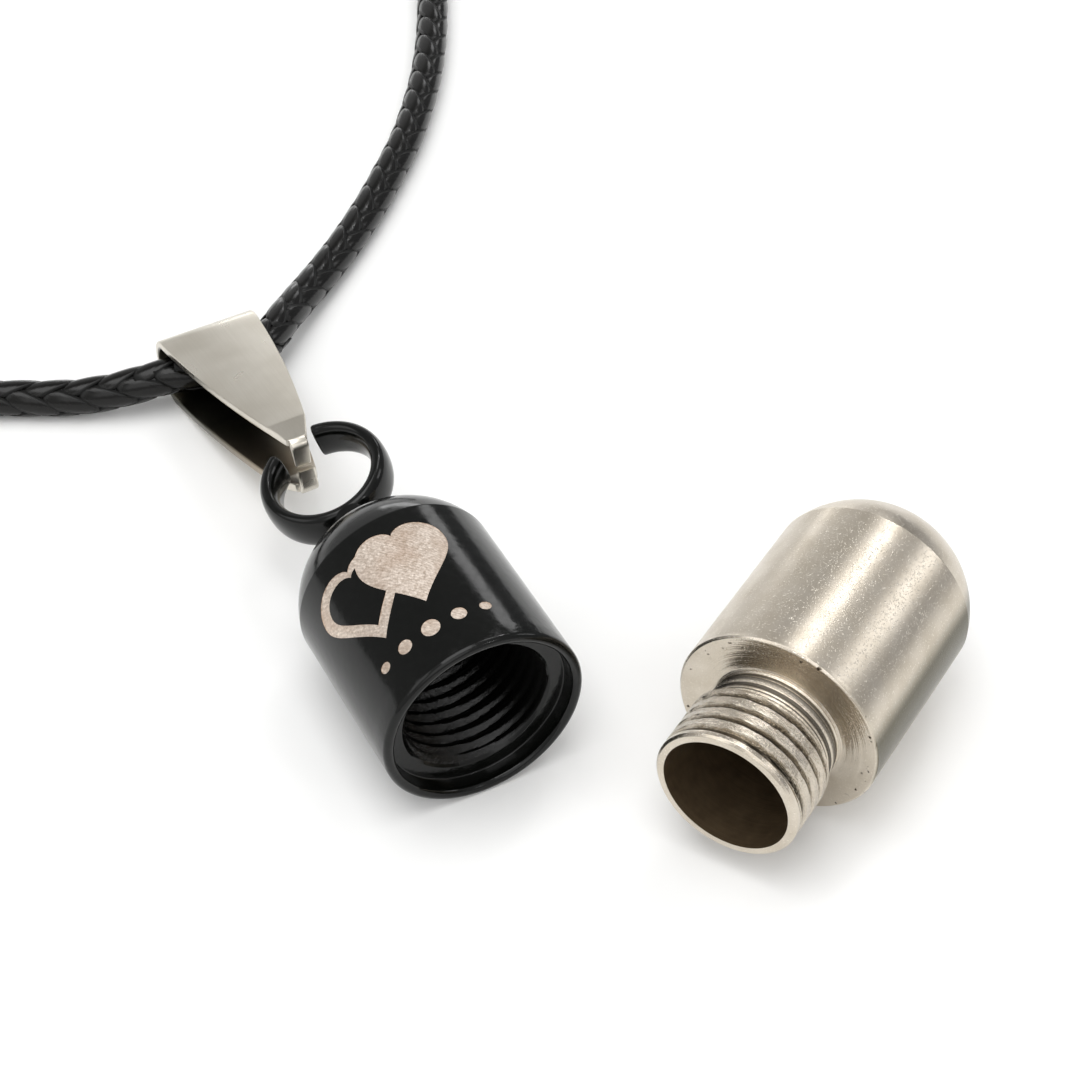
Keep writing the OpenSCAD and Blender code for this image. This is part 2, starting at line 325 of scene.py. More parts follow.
cordLook = {
    "thickness": 2.0,
    "pitch": 2.0,        # from one leaf of a row to the next
    "leafLength": 3.5,
    "leafWidth": 1.3,
    "taper": 0.9,        # 0 for a leaf as wide at its tips as in its middle, 1 for pointed tips
    "slant": 31.0,       # degrees between a leaf and the cord's line
    "dip": 0.12,         # how far a leaf's tips go under their neighbours
    "crown": 0.07,       # how much lower a leaf's long edges lie than its middle
    "coreRadius": 0.84,
    "turn": -14.0,       # degrees round the cord, so that a seam runs along its top
    "pathSteps": 8,      # between two points of the route
    "seed": 4,
}
# the same points as in the part's source: x, y and the height of the cord's lower side
cordRoute = [
    (-34.2, 177.6, 1), (-38.4, 177.6, 1), (-42.8, 177.2, 0.7), (-48.8, 176, 0.1), (-57.8, 172.6, 0),
    (-69.8, 166.1, 0), (-82.8, 155.6, 0), (-92.8, 141.6, 0), (-98.8, 124.6, 0), (-99.8, 106.6, 0),
    (-95.3, 89.1, 0), (-85.3, 73.6, 0), (-70.8, 59.6, 0), (-53.3, 46.1, 0), (-36.8, 34.2, 0),
    (-25.8, 27.2, 0), (-20.4, 24.2, 0), (-17.2, 22.5, 0.1), (-14.8, 21.5, 0.5), (-12.3, 20.8, 0.974),
    (-9.7, 20.3, 0.974), (-7.2, 20.8, 0.974), (-5.2, 22.4, 0.8), (-3.4, 24.1, 0.4), (-1.2, 26, 0.1),
    (1.7, 28.5, 0), (5.2, 31.9, 0), (9.6, 36.9, 0), (14.2, 43.9, 0), (20, 55.6, 0), (28.2, 71.6, 0),
    (35.2, 88.6, 0), (38.2, 106.6, 0), (35.7, 124.6, 0), (28.2, 141.6, 0), (16.2, 155.6, 0),
    (1.7, 166.6, 0), (-8.8, 172.6, 0), (-15.8, 175.6, 0.2), (-20.8, 177.2, 0.7), (-25.2, 177.6, 1),
    (-29.4, 177.6, 1),
]


def cordPath(steps):
    # smooth curve through the route's points, in mm, at the cord's middle
    points = [Vector((x, y, z + cordLook["thickness"] / 2)) for x, y, z in cordRoute]
    last, path = len(points) - 1, []
    for i in range(last):
        a, b, c, d = (points[min(max(k, 0), last)] for k in (i - 1, i, i + 1, i + 2))
        for k in range(steps):
            t = k / steps
            path.append(0.5 * (2 * b + (c - a) * t + (2 * a - 5 * b + 4 * c - d) * t ** 2
                               + (3 * b - a - 3 * c + d) * t ** 3))
    return path + [points[last]]


def braidLeaf(name, side):
    # the visible stretch of one strand, round a cord along z, leaning to one side
    look, along, across = cordLook, 8, 6
    lean, outer = math.radians(look["slant"]) * side, look["thickness"] / 2
    verts, acrossShare, alongShare = [], [], []
    for i in range(along + 1):
        s = 2 * i / along - 1
        half = look["leafWidth"] / 2 * math.sqrt(1 - look["taper"] * s ** 4)
        for j in range(across + 1):
            t = 2 * j / across - 1
            u, v = s * look["leafLength"] / 2, t * half
            angle = (u * math.sin(lean) + v * math.cos(lean)) / outer
            radius = outer - look["dip"] * abs(s) ** 2.5 - look["crown"] * t * t
            verts.append(Vector((radius * math.cos(angle), radius * math.sin(angle),
                                 u * math.cos(lean) - v * math.sin(lean))) * mm)
            acrossShare.append(t)
            alongShare.append(s)
    row = across + 1
    corners = [a for i in range(along) for a in range(i * row, i * row + across)]
    faces = [(a, a + 1, a + 1 + row, a + row) for a in corners]
    rim = list(range(row)) + [row * i + across for i in range(1, along + 1)]
    rim += [row * along + j for j in range(across - 1, -1, -1)] + [row * i for i in range(along - 1, 0, -1)]
    faces.append(tuple(reversed(rim)))
    mesh = bpy.data.meshes.new(name)
    mesh.from_pydata(verts, [], faces)
    mesh.attributes.new("acrossLeaf", "FLOAT", "POINT").data.foreach_set("value", acrossShare)
    mesh.attributes.new("alongLeaf", "FLOAT", "POINT").data.foreach_set("value", alongShare)
    build = bmesh.new()
    build.from_mesh(mesh)
    bmesh.ops.recalc_face_normals(build, faces=build.faces)
    build.to_mesh(mesh)
    build.free()
    mesh.shade_smooth()
    leaf = bpy.data.objects.new(name, mesh)
    bpy.context.scene.collection.objects.link(leaf)
    return leaf


def braidTree():
    # lays leaves round a path, two at a step, each step turned a quarter and leaning the other way,
    # over a round core
    tree, given = newGeometryTree("braidAlongPath", [
        ("Step", "Float", 0.001), ("Core radius", "Float", 0.0008), ("Turn", "Float", 0.0),
        ("Seed", "Int", 0), ("Left leaf", "Object", None), ("Right leaf", "Object", None),
        ("Material", "Material", None)])
    curve = addNode(tree, "GeometryNodeMeshToCurve", {0: given["Geometry"]})
    even = addNode(tree, "GeometryNodeResampleCurve", {
        "Curve": curve, "Length": given["Step"]}, mode="LENGTH")
    points = addNode(tree, "GeometryNodeCurveToPoints", {"Curve": even}, mode="EVALUATED")
    index = addNode(tree, "GeometryNodeInputIndex")
    odd = addNode(tree, "ShaderNodeMath", {0: index, 1: 2.0}, operation="MODULO")
    marked = addNode(tree, "GeometryNodeStoreNamedAttribute", {
        "Geometry": points.outputs["Points"], "Name": "oddStep",
        "Value": odd}, data_type="FLOAT", domain="POINT")
    pair = addNode(tree, "GeometryNodeDuplicateElements", {"Geometry": marked, "Amount": 2}, domain="POINT")
    oddStep = addNode(tree, "GeometryNodeInputNamedAttribute", {
        "Name": "oddStep"}, data_type="FLOAT").outputs[0]
    half = addNode(tree, "ShaderNodeMath", {
        0: pair.outputs["Duplicate Index"], 1: math.pi, 2: given["Turn"]}, operation="MULTIPLY_ADD")
    angle = addNode(tree, "ShaderNodeMath", {0: oddStep, 1: math.pi / 2, 2: half}, operation="MULTIPLY_ADD")
    spin = addNode(tree, "FunctionNodeAxisAngleToRotation", {"Axis": (0, 0, 1), "Angle": angle})
    facing = addNode(tree, "FunctionNodeRotateRotation", {
        0: points.outputs["Rotation"], 1: spin}, rotation_space="LOCAL")
    chance = addNode(tree, "FunctionNodeRandomValue", {"Seed": given["Seed"]}, data_type="FLOAT").outputs[1]
    seeded = addNode(tree, "GeometryNodeStoreNamedAttribute", {
        "Geometry": pair.outputs[0], "Name": "leafChance",
        "Value": chance}, data_type="FLOAT", domain="POINT")
    isOdd = addNode(tree, "FunctionNodeCompare", {
        0: oddStep, 1: 0.5}, data_type="FLOAT", operation="GREATER_THAN")
    isEven = addNode(tree, "FunctionNodeBooleanMath", {0: isOdd}, operation="NOT")
    joined = addNode(tree, "GeometryNodeJoinGeometry")
    for chosen, leaf in ((isOdd, "Left leaf"), (isEven, "Right leaf")):
        shape = addNode(tree, "GeometryNodeObjectInfo", {"Object": given[leaf]}).outputs["Geometry"]
        laid = addNode(tree, "GeometryNodeInstanceOnPoints", {
            "Points": seeded, "Selection": chosen, "Instance": shape, "Rotation": facing})
        tree.links.new(laid.outputs[0], joined.inputs[0])
    ring = addNode(tree, "GeometryNodeCurvePrimitiveCircle", {
        "Resolution": 10, "Radius": given["Core radius"]})
    core = addNode(tree, "GeometryNodeCurveToMesh", {
        "Curve": even, "Profile Curve": ring.outputs[0], "Fill Caps": True})
    tree.links.new(core.outputs[0], joined.inputs[0])
    real = addNode(tree, "GeometryNodeRealizeInstances", {0: joined})
    skinned = addNode(tree, "GeometryNodeSetMaterial", {"Geometry": real, "Material": given["Material"]})
    addNode(tree, "NodeGroupOutput", {0: skinned})
    return tree


def waxedBraid():
    # waxed polyester: black fibres under a thin film of wax, glossy on the crowns and dull in the seams
    material, tree = newMaterial("waxedPolyesterBraid")
    across = addNode(tree, "ShaderNodeAttribute", attribute_name="acrossLeaf").outputs["Fac"]
    along = addNode(tree, "ShaderNodeAttribute", attribute_name="alongLeaf").outputs["Fac"]
    chance = addNode(tree, "ShaderNodeAttribute", attribute_name="leafChance").outputs["Fac"]
    shift = addNode(tree, "ShaderNodeMath", {0: chance, 1: 40.0}, operation="MULTIPLY")
    # fibres 0.1 mm thick, drawn thicker than the real 0.02 mm so that they show
    strand = addNode(tree, "ShaderNodeCombineXYZ", {0: across, 1: along, 2: shift})
    stretched = addNode(tree, "ShaderNodeVectorMath", {0: strand, 1: (4.0, 0.7, 1.0)}, operation="MULTIPLY")
    fibres = addNode(tree, "ShaderNodeTexNoise", {
        "Vector": stretched, "Scale": 1.6, "Detail": 3.0, "Roughness": 0.6})
    fromMiddle = addNode(tree, "ShaderNodeMath", {0: across}, operation="ABSOLUTE")
    flank = addNode(tree, "ShaderNodeMapRange", {"Value": fromMiddle, "From Min": 0.62, "From Max": 0.82})
    toEnds = addNode(tree, "ShaderNodeMath", {0: along}, operation="ABSOLUTE")
    tip = addNode(tree, "ShaderNodeMapRange", {"Value": toEnds, "From Min": 0.68, "From Max": 0.84})
    seam = addNode(tree, "ShaderNodeMath", {0: flank, 1: tip}, operation="MAXIMUM")
    body = addNode(tree, "ShaderNodeMix", {
        0: fibres, 6: linearColour("#060605"), 7: linearColour("#0F0E0C")}, data_type="RGBA")
    # painted shade: the seams between leaves are darker than the leaves
    colour = addNode(tree, "ShaderNodeMix", {
        0: seam, 6: body, 7: linearColour("#030302")}, data_type="RGBA")
    wax = addNode(tree, "ShaderNodeMapRange", {
        "Value": fibres, "From Min": 0.3, "From Max": 0.7, "To Min": 0.13, "To Max": 0.22})
    gloss = addNode(tree, "ShaderNodeMath", {0: seam, 1: 0.35, 2: wax}, operation="MULTIPLY_ADD")
    marks = addNode(tree, "ShaderNodeBump", {"Height": fibres, "Distance": 0.008 * mm})
    shader = addNode(tree, "ShaderNodeBsdfPrincipled", {
        "Base Color": colour, "Roughness": gloss, "IOR": 1.36, "Normal": marks})
    addNode(tree, "ShaderNodeOutputMaterial", {"Surface": shader})
    return material


def makeCord():
    look = cordLook
    path = cordPath(look["pathSteps"])
    line = bpy.data.meshes.new("cordLine")
    line.from_pydata([p * mm for p in path], [(i, i + 1) for i in range(len(path) - 1)], [])
    leaves = [braidLeaf("leftLeaf", -1), braidLeaf("rightLeaf", 1)]
    mesh = runTree(line, braidTree(), {
        "Step": look["pitch"] / 2 * mm, "Core radius": look["coreRadius"] * mm,
        "Turn": math.radians(look["turn"]), "Seed": look["seed"], "Left leaf": leaves[0],
        "Right leaf": leaves[1], "Material": waxedBraid()})
    for leaf in leaves:
        bpy.data.objects.remove(leaf)
    mesh.name = "cordBraid"
    cord = bpy.data.objects.new("cordBraid", mesh)
    bpy.context.scene.collection.objects.link(cord)
    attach(cord, "pendant")
    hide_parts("cord")
    # a closed loop whose two ends go into its own clasp, so it isn't declared as a free cord
    length = sum((b - a).length for a, b in zip(path, path[1:]))
    say("cord, %d faces, %.1f mm" % (len(mesh.polygons), length))


makeCord()


# cap and eye ring

capPlace = Matrix.Translation(Vector((-9.4, -11.21, 5)) * mm) @ turned((-90, "X"))
capLook = {
    "sides": 192,
    "radius": 5.0,
    "side": 9.4,          # from the mouth to the dome's edge
    "dome": 3.9,
    "domeEdge": 0.3,      # rounding where the dome meets the side
    "lip": 0.54,
    "recess": 0.9,
    "boreDepth": 8.0,
    "rootRadius": 3.62,
    "pitch": 0.75,
    "ridge": 0.3,         # the enamel fills the thread a little
    "crest": 0.2,
    "wear": 0.05,
    "phase": 0.2,         # turns by which the ridge is turned round the bore
    "rowsPerPitch": 14,
    "threadRows": (1.04, 7.94),  # from the mouth, the stretch of the bore with close rows
    "threadEnds": (1.0, 7.9),    # from the mouth, where the ridge starts and ends
    "openTurn": 125.0,    # degrees round the bore, where the thread is free of enamel
    "engraveDepth": 0.02,
    "patch": (101, 160),  # columns of the side that carry the engraving
    "patchEnds": (1.0, 9.0),  # from the mouth
    "facing": -18.0,      # degrees from the top to the engraving's middle
}
# hearts: place of the tip across and from the mouth, width and height, and turn in degrees
heartLook = {
    "solid": {"tip": (0.5, 3.64), "size": (4.34, 4.85), "turn": -4.0},
    "open": {"tip": (-1.88, 3.34), "size": (4.34, 4.85), "turn": -2.0},
    "band": 0.5,
    "tipAngle": 36.0,  # between a side and the heart's middle line, at its tip
}
# plain dots near the mouth: across, from the mouth, diameter
dotLook = [(-2.6, 2.2, 0.5), (-1.4, 2.2, 0.7), (0.0, 2.2, 0.9), (1.4, 2.2, 0.7), (2.6, 2.2, 0.5)]


def threadTree():
    # a screw ridge round the z axis, with dents, on the points that hold a threadShare above 0
    tree, given = newGeometryTree("screwThread", [
        ("Pitch", "Float", 0.75), ("Ridge", "Float", 0.36), ("Crest", "Float", 0.14),
        ("Start", "Float", 0.0), ("End", "Float", 1.0), ("Wear", "Float", 0.0), ("Grain", "Float", 5.0),
        ("Phase", "Float", 0.0), ("Material", "Material", None)])
    place = addNode(tree, "GeometryNodeInputPosition")
    x, y, z = addNode(tree, "ShaderNodeSeparateXYZ", {0: place}).outputs
    turn = addNode(tree, "ShaderNodeMath", {0: y, 1: x}, operation="ARCTAN2")
    turns = addNode(tree, "ShaderNodeMath", {
        0: turn, 1: -0.5 / math.pi, 2: given["Phase"]}, operation="MULTIPLY_ADD")
    rise = addNode(tree, "ShaderNodeMath", {0: z, 1: given["Pitch"]}, operation="DIVIDE")
    wound = addNode(tree, "ShaderNodeMath", {0: rise, 1: turns}, operation="ADD")
    phase = addNode(tree, "ShaderNodeMath", {0: wound}, operation="FRACT")
    aside = addNode(tree, "ShaderNodeMath", {0: phase, 1: 0.5}, operation="SUBTRACT")
    size = addNode(tree, "ShaderNodeMath", {0: aside}, operation="ABSOLUTE")
    away = addNode(tree, "ShaderNodeMath", {0: size, 1: given["Pitch"]}, operation="MULTIPLY")
    # a flat crest, and a foot that nearly meets the next turn's
    top = addNode(tree, "ShaderNodeMath", {0: given["Crest"], 1: 0.5}, operation="MULTIPLY")
    foot = addNode(tree, "ShaderNodeMath", {0: given["Pitch"], 1: 0.46}, operation="MULTIPLY")
    ridge = addNode(tree, "ShaderNodeMapRange", {
        "Value": away, "From Min": top, "From Max": foot, "To Min": 1.0, "To Max": 0.0})
    # it rises over the first 0.3 mm and runs out over the last
    started = addNode(tree, "ShaderNodeMath", {0: given["Start"], 1: 0.3}, operation="ADD")
    ending = addNode(tree, "ShaderNodeMath", {0: given["End"], 1: 0.3}, operation="SUBTRACT")
    fadeIn = addNode(tree, "ShaderNodeMapRange", {
        "Value": z, "From Min": given["Start"], "From Max": started})
    fadeOut = addNode(tree, "ShaderNodeMapRange", {
        "Value": z, "From Min": ending, "From Max": given["End"], "To Min": 1.0, "To Max": 0.0})
    present = addNode(tree, "ShaderNodeMath", {0: fadeIn, 1: fadeOut}, operation="MULTIPLY")
    rough = addNode(tree, "ShaderNodeTexNoise", {"Vector": place, "Scale": given["Grain"], "Detail": 3.0})
    uneven = addNode(tree, "ShaderNodeMath", {0: rough, 1: 0.5}, operation="SUBTRACT")
    dents = addNode(tree, "ShaderNodeMath", {0: uneven, 1: given["Wear"]}, operation="MULTIPLY")
    height = addNode(tree, "ShaderNodeMath", {
        0: present, 1: given["Ridge"], 2: dents}, operation="MULTIPLY_ADD")
    shaped = addNode(tree, "ShaderNodeMath", {0: height, 1: ridge}, operation="MULTIPLY")
    stored = addNode(tree, "GeometryNodeInputNamedAttribute", {"Name": "threadShare"}, data_type="FLOAT")
    share = stored.outputs[0]
    lift = addNode(tree, "ShaderNodeMath", {0: shaped, 1: share}, operation="MULTIPLY")
    flat = addNode(tree, "ShaderNodeCombineXYZ", {0: x, 1: y})
    out = addNode(tree, "ShaderNodeVectorMath", {0: flat}, operation="NORMALIZE")
    move = addNode(tree, "ShaderNodeVectorMath", {0: out, "Scale": lift}, operation="SCALE")
    moved = addNode(tree, "GeometryNodeSetPosition", {"Geometry": given["Geometry"], "Offset": move})
    real = addNode(tree, "GeometryNodeRealizeInstances", {0: moved})
    onThread = addNode(tree, "FunctionNodeCompare", {
        0: share, 1: 0.01}, data_type="FLOAT", operation="GREATER_THAN")
    skinned = addNode(tree, "GeometryNodeSetMaterial", {
        "Geometry": real, "Selection": onThread, "Material": given["Material"]})
    addNode(tree, "NodeGroupOutput", {0: skinned})
    return tree


def heartOutline(size, inset=None, steps=14):
    # a plain heart with its tip at (0, 0); inset scales it and lifts its tip
    width, height = size
    # one half is two curves, drawn in a heart of this size
    drawnWidth, drawnHeight = 4.55, 4.85
    half = [(0, 4.42), (0.35, 5.11), (2.275, 5.11), (2.275, 3.46), (2.275, 2.27), (0.9, 1.24), (0, 0)]
    side = []
    for a, b, c, d in (half[0:4], half[3:7]):
        for k in range(steps):
            t = k / steps
            weights = ((1 - t) ** 3, 3 * t * (1 - t) ** 2, 3 * t * t * (1 - t), t ** 3)
            side.append(sum((w * Vector(p) for w, p in zip(weights, (a, b, c, d))), Vector((0, 0))))
    side.append(Vector((0, 0)))
    outline = side + [Vector((-p.x, p.y)) for p in reversed(side[1:-1])]
    outline = [Vector((p.x * width / drawnWidth, p.y * height / drawnHeight)) for p in outline]
    if inset:
        wide, high, lift = inset
        outline = [Vector((p.x * wide, p.y * high + lift)) for p in outline]
    return outline


def inside(outline, x, y):
    # whether a closed outline runs round a point
    odd = False
    for a, b in zip(outline, outline[1:] + outline[:1]):
        if (a[1] > y) != (b[1] > y) and x < (b[0] - a[0]) * (y - a[1]) / (b[1] - a[1]) + a[0]:
            odd = not odd
    return odd


def engravingOutlines():
    # closed outlines in (across, from the mouth), in mm, seen square to the engraving's middle
    def put(outline, look):
        turn = Matrix.Rotation(math.radians(look["turn"]), 2)
        return [turn @ p + Vector(look["tip"]) for p in outline]
    solid, hollow = heartLook["solid"], heartLook["open"]
    band, (width, height) = heartLook["band"], hollow["size"]
    lift = band / math.sin(math.radians(heartLook["tipAngle"]))
    inset = ((width - 2 * band) / width, (height - band - lift) / height, lift)
    sides = 20
    turns = [2 * math.pi * k / sides for k in range(sides)]
    dots = [[Vector((x + d / 2 * math.cos(t), z + d / 2 * math.sin(t))) for t in turns]
            for x, z, d in dotLook]
    return (put(heartOutline(solid["size"]), solid), put(heartOutline(hollow["size"]), hollow),
            put(heartOutline(hollow["size"], inset), hollow), dots)


def engravedPatch(low, high):
    # the side's engraved stretch: points, faces and which faces are engraved
    look = capLook
    radius, step = look["radius"], 2 * math.pi / look["sides"]
    first, last = look["patch"]
    top = math.radians(-90)  # the lathe's angle at the cap's top

    def wrapped(outline):
        # an outline laid round the side: distance along the arc, and height
        facing = math.radians(look["facing"])
        return [Vector((radius * (facing + math.asin(p[0] / radius)), p[1])) for p in outline]

    solid, outer, inner, dots = engravingOutlines()
    solid, outer, inner = wrapped(solid), wrapped(outer), wrapped(inner)
    dots = [wrapped(dot) for dot in dots]
    arcs = [radius * (step * k - 2 * math.pi - top) for k in range(first, last + 1)]
    points = [Vector((a, low)) for a in arcs] + [Vector((a, high)) for a in reversed(arcs)]
    edges = [(k, (k + 1) % len(points)) for k in range(len(points))]
    for outline in [solid, outer, inner] + dots:
        start = len(points)
        points += outline
        edges += [(start + k, start + (k + 1) % len(outline)) for k in range(len(outline))]
    # more points in between, clear of the outlines
    fixed, rows, clear = points[:], 16, 0.07
    for a in arcs[1:-1]:
        for k in range(1, rows):
            p = Vector((a, low + (high - low) * k / rows))
            if all((p - q).length > clear for q in fixed):
                points.append(p)
    flat, _, triangles, _, _, _ = delaunay_2d_cdt(points, edges, [], 0, 1e-5)
    engraved = []
    for t in triangles:
        x, y = sum((flat[i] for i in t), Vector((0, 0))) / len(t)
        engraved.append(inside(solid, x, y) or (inside(outer, x, y) and not inside(inner, x, y))
                        or any(inside(d, x, y) for d in dots))
    verts, lookup, faces, edgeUse = [], {}, [], {}

    def vertex(i, deep):
        if (i, deep) not in lookup:
            r = radius - look["engraveDepth"] * deep
            angle = flat[i].x / radius + top
            lookup[i, deep] = len(verts)
            verts.append(Vector((r * math.cos(angle), r * math.sin(angle), flat[i].y)))
        return lookup[i, deep]

    for t, deep in zip(triangles, engraved):
        faces.append(tuple(vertex(i, deep) for i in t))
        for a, b in zip(t, t[1:] + t[:1]):
            edgeUse.setdefault((min(a, b), max(a, b)), []).append(deep)
    marks = [int(e) for e in engraved]
    for (a, b), uses in edgeUse.items():
        if len(uses) == 2 and uses[0] != uses[1]:
            faces.append((vertex(a, False), vertex(b, False), vertex(b, True), vertex(a, True)))
            marks.append(1)
    return verts, faces, marks


def roundNormals(mesh, place, radius, low, high):
    # exact normals on a cylinder whose faces are cut up by an engraving
    back, turn = (place @ Matrix.Scale(mm, 4)).inverted(), place.to_3x3()
    normals = [n.vector.copy() for n in mesh.corner_normals]
    for face in mesh.polygons:
        for loop in face.loop_indices:
            p = back @ mesh.vertices[mesh.loops[loop].vertex_index].co
            outwards = turn @ Vector((p.x, p.y, 0)).normalized()
            onSide = low < p.z < high and abs(p.xy.length - radius) < 0.1
            if onSide and outwards.dot(face.normal) > 0.9:
                normals[loop] = outwards
    mesh.normals_split_custom_set(normals)


def blackEnamel():
    # glossy black enamel on steel: near-black and mirror-smooth, with faint orange peel 0.6 mm across;
    # it ran thick at the lip
    material, tree = newMaterial("glossyBlackEnamel")
    point = pieceSpace(tree, capPlace)
    _, height, _ = axisSpace(tree, point)
    tone = addNode(tree, "ShaderNodeTexNoise", {"Vector": point, "Scale": 0.7, "Detail": 2.0})
    body = addNode(tree, "ShaderNodeMix", {
        0: tone, 6: linearColour("#040504"), 7: linearColour("#090A08")}, data_type="RGBA")
    smears = addNode(tree, "ShaderNodeTexNoise", {"Vector": point, "Scale": 3.0, "Detail": 3.0})
    gloss = addNode(tree, "ShaderNodeMapRange", {
        "Value": smears, "From Min": 0.35, "From Max": 0.7, "To Min": 0.1, "To Max": 0.19})
    peel = addNode(tree, "ShaderNodeTexNoise", {"Vector": point, "Scale": 1.8, "Detail": 2.0})
    depth = addNode(tree, "ShaderNodeMapRange", {
        "Value": height, "From Min": 1.3, "From Max": 0.7, "To Min": 0.006, "To Max": 0.016})
    waves = addNode(tree, "ShaderNodeMath", {0: peel, 1: depth}, operation="MULTIPLY")
    marks = addNode(tree, "ShaderNodeBump", {"Height": waves, "Distance": mm})
    shader = addNode(tree, "ShaderNodeBsdfPrincipled", {
        "Base Color": body, "Roughness": gloss, "IOR": 1.36, "Normal": marks})
    addNode(tree, "ShaderNodeOutputMaterial", {"Surface": shader})
    return material


def boreEnamel():
    # the same enamel inside the bore: thick, lumpy and glossy over the thread on one side, thin and dull
    # elsewhere
    material, tree = newMaterial("boreEnamel")
    point = pieceSpace(tree, capPlace)
    thickSide = (-0.34, 0.94, 0)  # the way there from the axis
    side = addNode(tree, "ShaderNodeVectorMath", {0: point, 1: thickSide}, operation="DOT_PRODUCT")
    share = addNode(tree, "ShaderNodeMapRange", {
        "Value": side.outputs["Value"], "From Min": -0.5, "From Max": 2.8})
    lumps = addNode(tree, "ShaderNodeTexNoise", {"Vector": point, "Scale": 2.2, "Detail": 3.0})
    grain = addNode(tree, "ShaderNodeTexNoise", {
        "Vector": point, "Scale": 7.0, "Detail": 3.0, "Roughness": 0.7})
    colour = addNode(tree, "ShaderNodeMix", {
        0: lumps, 6: linearColour("#030302"), 7: linearColour("#080807")}, data_type="RGBA")
    gloss = addNode(tree, "ShaderNodeMapRange", {"Value": share, "To Min": 0.5, "To Max": 0.1})
    fine = addNode(tree, "ShaderNodeMath", {0: grain, 1: 0.035}, operation="MULTIPLY")
    relief = addNode(tree, "ShaderNodeMath", {0: lumps, 1: 0.04, 2: fine}, operation="MULTIPLY_ADD")
    uneven = addNode(tree, "ShaderNodeMath", {0: relief, 1: share}, operation="MULTIPLY")
    marks = addNode(tree, "ShaderNodeBump", {"Height": uneven, "Distance": mm})
    shader = addNode(tree, "ShaderNodeBsdfPrincipled", {
        "Base Color": colour, "Roughness": gloss, "IOR": 1.4, "Normal": marks})
    addNode(tree, "ShaderNodeOutputMaterial", {"Surface": shader})
    return material


def engravedSteel():
    # bare steel under the enamel, cut by a fine tool: pale, matt and mottled, with slanting passes
    # 0.14 mm apart, wider than the real ones so that they show
    material, tree = newMaterial("engravedSteel")
    point = pieceSpace(tree, capPlace)
    slanted = addNode(tree, "ShaderNodeMapping", {"Vector": point, "Rotation": (0, math.radians(38), 0)})
    passes = addNode(tree, "ShaderNodeTexWave", {
        "Vector": slanted, "Scale": 2.2, "Distortion": 6.0, "Detail": 3.0, "Detail Scale": 2.0})
    grain = addNode(tree, "ShaderNodeTexNoise", {
        "Vector": point, "Scale": 6.0, "Detail": 4.0, "Roughness": 0.7})
    blotch = addNode(tree, "ShaderNodeTexNoise", {"Vector": point, "Scale": 0.6, "Detail": 2.0})
    mottle = addNode(tree, "ShaderNodeMapRange", {"Value": grain, "From Min": 0.35, "From Max": 0.65})
    metal = addNode(tree, "ShaderNodeMix", {
        0: mottle, 6: linearColour("#C2B1A1"), 7: linearColour("#F0E5DA")}, data_type="RGBA")
    cut = addNode(tree, "ShaderNodeMapRange", {
        "Value": passes, "From Min": 0.2, "From Max": 0.9, "To Max": 0.22})
    metal = addNode(tree, "ShaderNodeMix", {0: cut, 6: metal, 7: linearColour("#8F7C6C")}, data_type="RGBA")
    warm = addNode(tree, "ShaderNodeMapRange", {
        "Value": blotch, "From Min": 0.45, "From Max": 0.7, "To Max": 0.45})
    metal = addNode(tree, "ShaderNodeMix", {
        0: warm, 6: metal, 7: linearColour("#B0957F")}, data_type="RGBA")
    matt = addNode(tree, "ShaderNodeMapRange", {
        "Value": grain, "From Min": 0.3, "From Max": 0.7, "To Min": 0.42, "To Max": 0.62})
    scored = addNode(tree, "ShaderNodeBump", {"Height": passes, "Distance": 0.003 * mm})
    marks = addNode(tree, "ShaderNodeBump", {"Height": grain, "Distance": 0.006 * mm, "Normal": scored})
    shader = addNode(tree, "ShaderNodeBsdfPrincipled", {
        "Base Color": metal, "Metallic": 1.0, "Roughness": matt, "Normal": marks})
    addNode(tree, "ShaderNodeOutputMaterial", {"Surface": shader})
    return material


